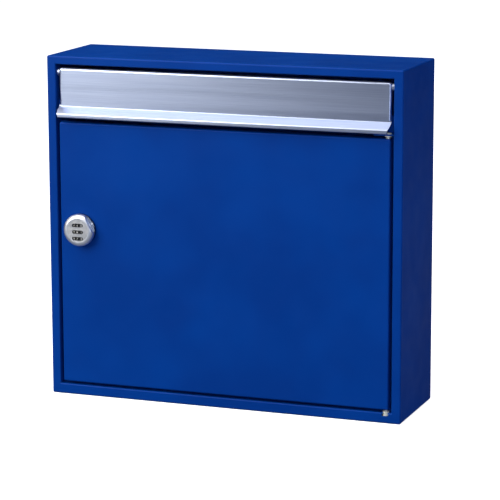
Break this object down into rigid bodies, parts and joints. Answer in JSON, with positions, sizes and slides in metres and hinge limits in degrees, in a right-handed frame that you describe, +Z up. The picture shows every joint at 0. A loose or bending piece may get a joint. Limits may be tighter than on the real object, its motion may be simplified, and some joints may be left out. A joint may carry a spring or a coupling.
{
  "type": "wall mailbox",
  "caption": "Shallow wall mailbox of folded blue steel: a stainless flap over the letter slot at the top of the front, and a hinged door below with a round number-dial lock.",
  "frame": {"origin": "centre of the four wall holes, on the back face that lies against the wall", "axes": "+X to the right of someone facing the front, +Y into the wall, +Z up"},
  "size_m": [0.36, 0.1116, 0.336],
  "materials": {
    "painted_steel": "deep blue semi-gloss stoved paint on sheet steel, with a faint orange peel",
    "stainless_flap": "stainless sheet with a hairline brushing from side to side",
    "chromed_zinc": "satin-bright chrome plate on die-cast zinc",
    "satin_zinc": "fine satin silver face",
    "zinc_plated_steel": "clear-passivated zinc plate on steel, dull and slightly blue",
    "spring_steel": "dark oiled spring steel",
    "nylon": "natural nylon, waxy off-white",
    "black_rubber": "matte black rubber",
    "wheel_plastic": "black moulded acetal with white filled digits"
  },
  "bodies": {
    "case": {"case_shell": "painted_steel", "back_panel": "painted_steel", "cross_rail": "painted_steel", "upper_hinge_bracket": "painted_steel", "bracket_screws": "zinc_plated_steel", "lower_hinge_bush": "nylon", "upper_hinge_bush": "nylon", "door_bumpers": "black_rubber", "flap_bumpers": "black_rubber", "strike_plate": "painted_steel"},
    "flap": {"flap_plate": "stainless_flap", "flap_pin_left": "zinc_plated_steel", "flap_pin_right": "zinc_plated_steel", "flap_spacer_left": "stainless_flap", "flap_spacer_right": "stainless_flap"},
    "door": {"door_panel": "painted_steel", "lower_hinge_plate": "painted_steel", "upper_hinge_plate": "painted_steel", "lower_hinge_pin": "zinc_plated_steel", "upper_hinge_pin": "zinc_plated_steel", "lock_gasket": "black_rubber", "lock_housing": "chromed_zinc", "lock_nut": "zinc_plated_steel"},
    "knob": {"lock_knob": "chromed_zinc", "lock_face_plate": "satin_zinc", "wheel_axle": "zinc_plated_steel", "wheel_leaf": "spring_steel", "knob_clip": "spring_steel", "lock_cam": "zinc_plated_steel", "cam_washer": "zinc_plated_steel", "cam_screw": "zinc_plated_steel"},
    "wheel_top": {"number_wheel_top": "wheel_plastic"},
    "wheel_middle": {"number_wheel_middle": "wheel_plastic"},
    "wheel_bottom": {"number_wheel_bottom": "wheel_plastic"}
  },
  "joints": [
    {"name": "door_hinge", "type": "hinge", "parent": "case", "child": "door", "pos_m": [0.1648, -0.098, 0], "axis": [0, 0, 1], "range_deg": [0, 105]},
    {"name": "flap_hinge", "type": "hinge", "parent": "case", "child": "flap", "pos_m": [0, -0.0956, 0.1518], "axis": [-1, 0, 0], "range_deg": [0, 80]},
    {"name": "knob_turn", "type": "hinge", "parent": "door", "child": "knob", "pos_m": [-0.1462, -0.1052, -0.001], "axis": [0, 1, 0], "range_deg": [0, 90]},
    {"name": "top_wheel_spin", "type": "hinge", "parent": "knob", "child": "wheel_top", "pos_m": [-0.1462, -0.1052, 0.0043], "axis": [0, 0, 1], "continuous": true},
    {"name": "middle_wheel_spin", "type": "hinge", "parent": "knob", "child": "wheel_middle", "pos_m": [-0.1462, -0.1052, -0.0023], "axis": [0, 0, 1], "continuous": true},
    {"name": "bottom_wheel_spin", "type": "hinge", "parent": "knob", "child": "wheel_bottom", "pos_m": [-0.1462, -0.1052, -0.0089], "axis": [0, 0, 1], "continuous": true}
  ]
}
